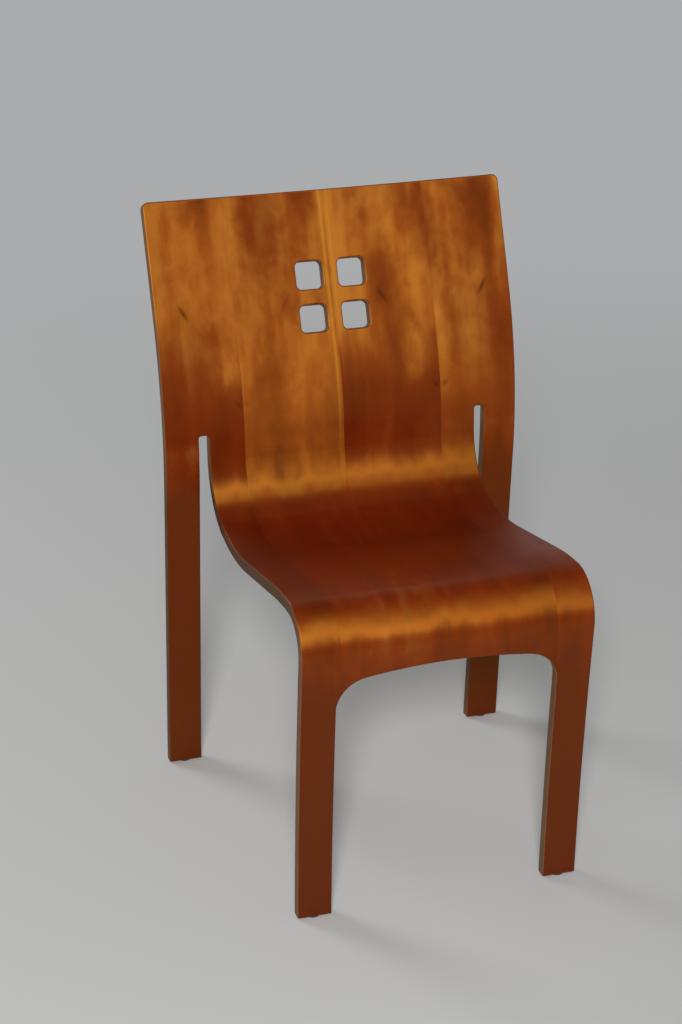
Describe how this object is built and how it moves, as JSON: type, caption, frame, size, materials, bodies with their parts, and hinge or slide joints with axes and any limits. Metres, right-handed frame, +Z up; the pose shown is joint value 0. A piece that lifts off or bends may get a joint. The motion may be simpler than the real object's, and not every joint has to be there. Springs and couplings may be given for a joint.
{
  "type": "moulded plywood side chair",
  "caption": "Side chair bent from a single slotted sheet of plywood, with a dished back, a group of square holes and nail-on glides.",
  "frame": {"origin": "on the floor under the glides, in the middle of the chair's width and depth", "axes": "+X to the right seen from in front, +Y from the seat's front edge towards the back, +Z up"},
  "size_m": [0.535, 0.5926, 0.8717],
  "materials": {
    "face_veneer": "cherry veneer, stained red-brown to golden and gloss lacquered",
    "core_veneer": "rotary-cut hardwood plies, stained and lacquered at the edges",
    "glide_plastic": "dark brown moulded plastic, slightly worn",
    "nail_steel": "plain drawn steel"
  },
  "bodies": {
    "root": {"face_leaf_left": "face_veneer", "face_leaf_mid_left": "face_veneer", "face_leaf_mid_right": "face_veneer", "face_leaf_right": "face_veneer", "core_ply_01": "core_veneer", "core_ply_02": "core_veneer", "core_ply_03": "core_veneer", "core_ply_04": "core_veneer", "core_ply_05": "core_veneer", "core_ply_06": "core_veneer", "core_ply_07": "core_veneer", "core_ply_08": "core_veneer", "core_ply_09": "core_veneer", "core_ply_10": "core_veneer", "core_ply_11": "core_veneer", "back_leaf_left": "face_veneer", "back_leaf_mid_left": "face_veneer", "back_leaf_mid_right": "face_veneer", "back_leaf_right": "face_veneer", "glide_front_left": "glide_plastic", "glide_front_right": "glide_plastic", "glide_rear_left": "glide_plastic", "glide_rear_right": "glide_plastic", "glide_nails": "nail_steel"}
  },
  "joints": []
}
